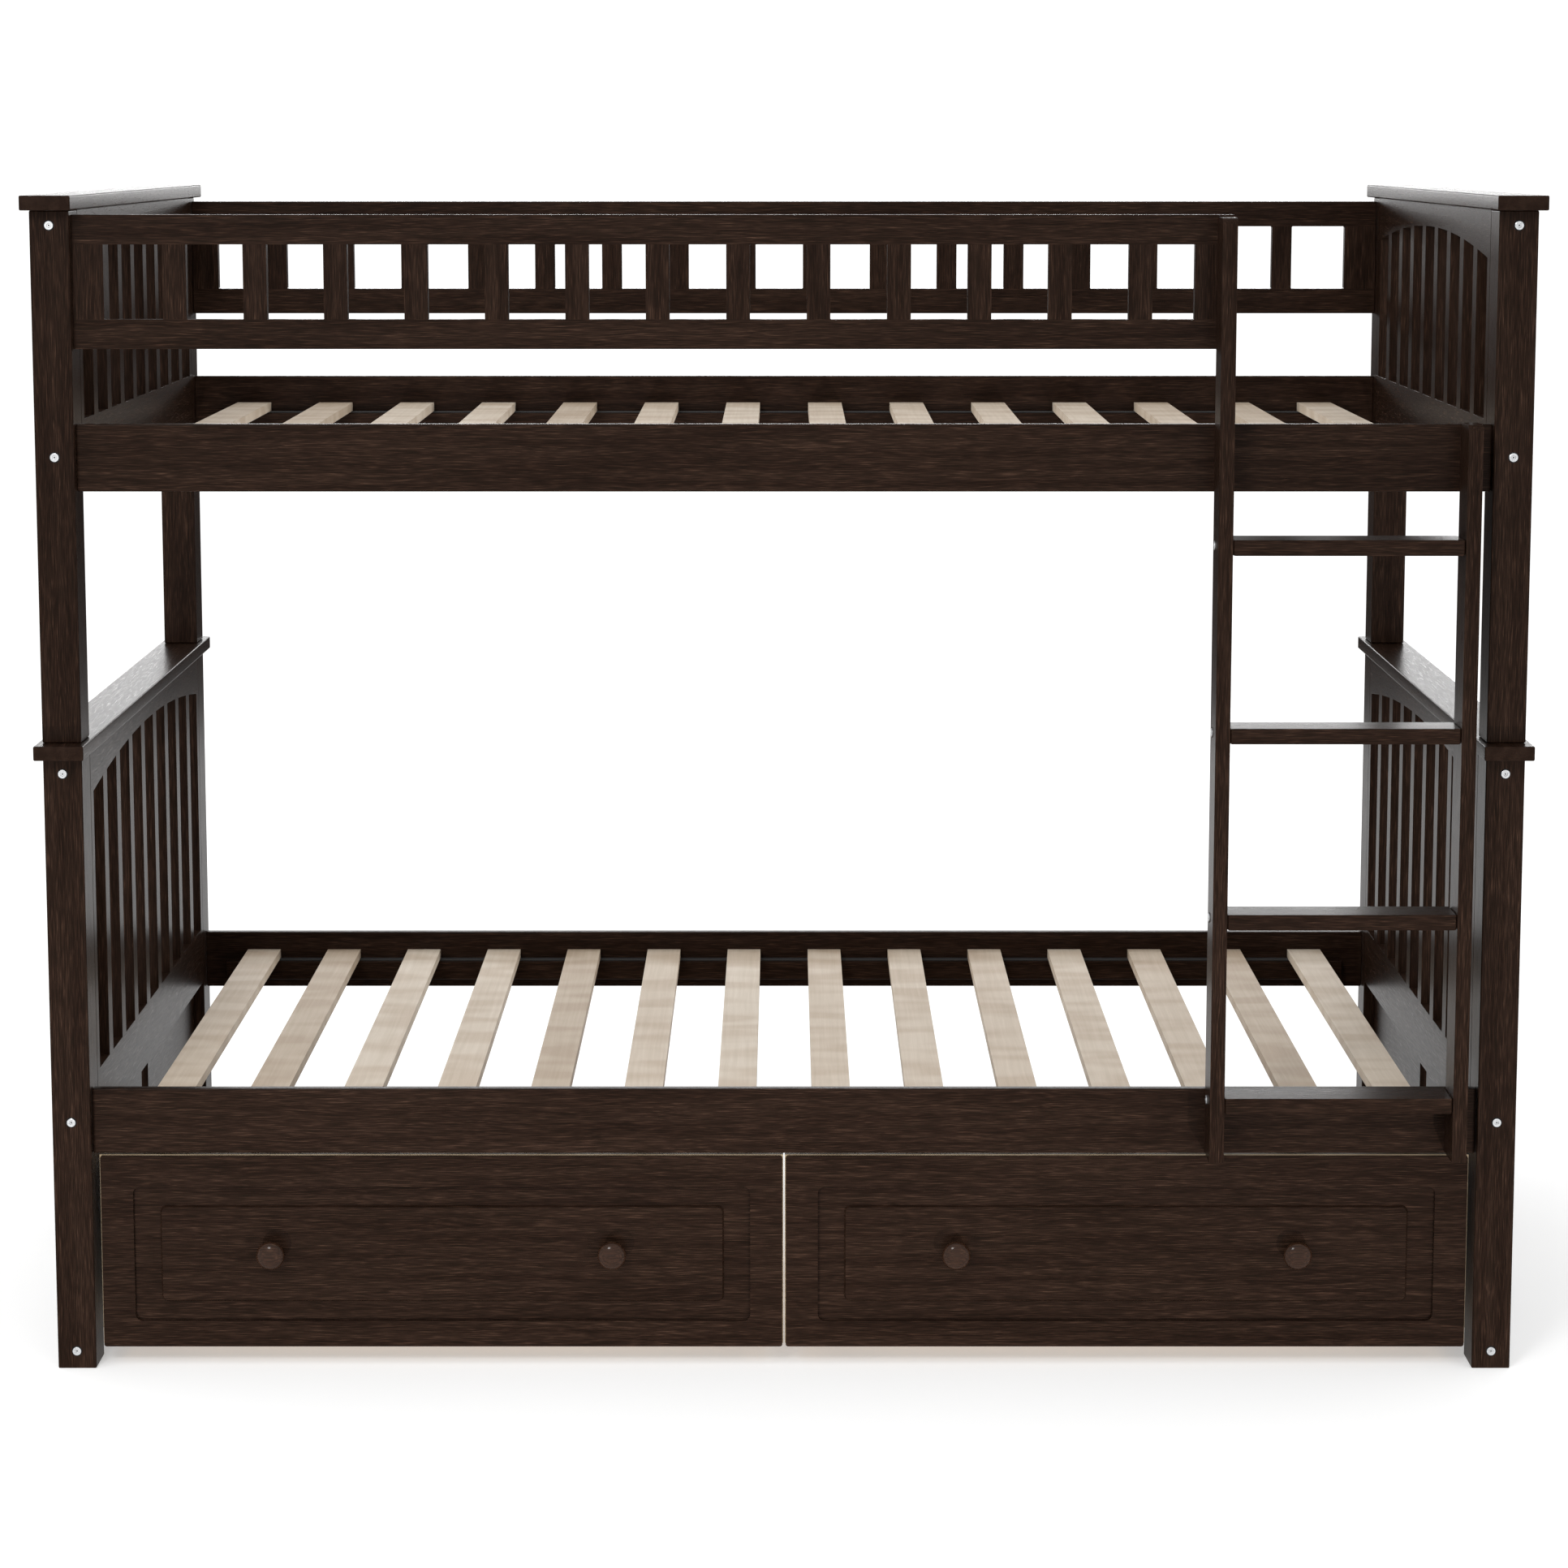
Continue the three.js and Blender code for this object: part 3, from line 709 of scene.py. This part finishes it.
def post_bolt_places():
    """Where the bolts enter the posts' front and rear faces: at the foot, at the lower side rail, under the
    lower cap, at the upper side rail and under the upper cap."""
    for side in SIDES:
        for face in FACES:
            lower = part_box(f"post_lower_{face}_{side}")
            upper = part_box(f"post_upper_{face}_{side}")
            x = (lower[0].x + lower[1].x) / 2
            y, way = (lower[0].y, -1) if face == "front" else (lower[1].y, 1)
            heights = [
                FOOT_BOLT_RISE,
                lower[1].z - BOLT_BELOW_LOWER_CAP,
                upper[1].z - BOLT_BELOW_UPPER_CAP,
            ]
            for tier in TIERS:
                rail_low, rail_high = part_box(f"side_rail_{tier}_{face}")
                heights.append((rail_low.z + rail_high.z) / 2 + RAIL_BOLT_RISE)
            for z in heights:
                yield (x, y, z), way * Y, -way * X


def ladder_bolt_places():
    """Where the bolts through the ladder's rails enter the ends of its steps."""
    for side in SIDES:
        low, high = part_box(f"ladder_rail_{side}")
        way = OUTWARD[side]
        x = low.x if side == "left" else high.x
        for step in range(1, 5):
            step_low, step_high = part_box(f"ladder_step_{step}")
            z = (step_low.z + step_high.z) / 2
            yield (x, low.y + LADDER_BOLT_INSET, z), way * X, way * Y


def make_bolts(zinc):
    """The bolts of the posts and of the ladder, with painted shade on the rims of their bores and at the feet
    of their sockets.
    """
    # Painted shade: a near-black colour for the shadowed bore round each bolt head and for the foot of its
    # socket.
    rim = nylon_and_painted_shade("painted_shade_bore_rim", "060505", 0.8)
    groups = {"post": list(post_bolt_places()), "ladder": list(ladder_bolt_places())}
    shapes = (("bolts", socket_head, zinc), ("bolt_painted_shade_rims", painted_shade_ring, rim))
    for group, places in groups.items():
        for part, shape, material in shapes:
            made = joined([shape(base, axis, across, Z) for base, axis, across in places])
            piece(f"{group}_{part}", *made, material, "frame", smooth=False)


# ---- drawers ----
def make_front_edges():
    """The bare core of each drawer front: a pale square edge behind its stained face, on three sides."""
    stops = [(0.3, "857258"), (0.5, "A08D72"), (0.7, "B5A489")]
    core = bare_wood("bare_core_edge", "X", stops)
    proud = 1.1 * MM
    sunk = 1 * MM
    from_face = 4 * MM
    for side in SIDES:
        low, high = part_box(f"drawer_{side}_front")
        foot = low.z + 4 * MM
        rows = []
        for y in (low.y + from_face, high.y - sunk):
            for spread in (proud, -sunk):
                x0, x1, top = low.x - spread, high.x + spread, high.z + spread
                rows.append([(x0, y, foot), (x0, y, top), (x1, y, top), (x1, y, foot)])
        # Four loops of four points: front outer, front inner, rear outer, rear inner.
        points = np.array(rows).reshape(-1, 3)
        faces = []
        for j in range(3):
            front_outer, front_inner, rear_outer, rear_inner = (k * 4 + j for k in range(4))
            faces += [
                [front_outer, front_outer + 1, front_inner + 1, front_inner],
                [rear_inner, rear_inner + 1, rear_outer + 1, rear_outer],
                [rear_outer, rear_outer + 1, front_outer + 1, front_outer],
                [front_inner, front_inner + 1, rear_inner + 1, rear_inner],
            ]
        faces += [[0, 4, 12, 8], [3, 11, 15, 7]]
        edge = piece(f"drawer_{side}_front_core", points, faces, core, f"drawer_{side}", smooth=False)


def wheel_profile(radius, tread, width):
    """A nylon wheel's section from the outer face in: a hub boss, a sunk web, a rim, a crowned tread and
    a flat inner face. Heights run from the axle stub's face, which is at 0."""
    hub, web = 0.3 * radius, 0.78 * radius
    sunk = 0.35 * width
    outer, inner = tread, tread + width
    crown = np.linspace(-1, 1, 9)
    rim = np.stack([radius - 0.7 * MM * crown**4, (outer + inner) / 2 + crown * width / 2], -1)
    face = [(hub, outer), (hub, outer + sunk), (web, outer + sunk), (web, outer)]
    inside = [(web, inner), (web, inner - sunk), (hub, inner - sunk), (hub, inner)]
    return face, rim, inside


def make_wheels():
    """Eight moulded wheels on stub axles, each in place of its plain CAD wheel."""
    nylon = nylon_and_painted_shade("black_moulded_nylon", "1E1E1F", 0.45)
    stub_radius = 4 * MM
    width = 16 * MM
    for drawer in SIDES:
        for face in FACES:
            for hand in SIDES:
                node = f"drawer_{drawer}_wheel_{face}_{hand}"
                low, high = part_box(node)
                radius = (high.z - low.z) / 2
                middle = (low + high) / 2
                # The stub starts at the outer face of the box side and the wheel lies inside it.
                way = -OUTWARD[hand]
                start = low.x if way > 0 else high.x
                length = high.x - low.x
                tread = length - width
                front, rim, inside = wheel_profile(radius, tread, width)
                stub = [(0, 0), (stub_radius, 0), (stub_radius, tread)]
                profile = np.vstack([stub, front, rim, inside, [(0, length)]])
                made = turned(profile, 48, (start, middle.y, middle.z), way * X, Y, way * Z)
                wheel = piece(f"{node}_moulded", *made, nylon, node, smooth=False)
                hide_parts(node)


make_camera()
make_floor()
make_light()
finish_joinery()
finish_drawers()
bright_zinc = zinc_plate()
make_knobs(bright_zinc)
make_bolts(bright_zinc)
make_front_edges()
make_wheels()
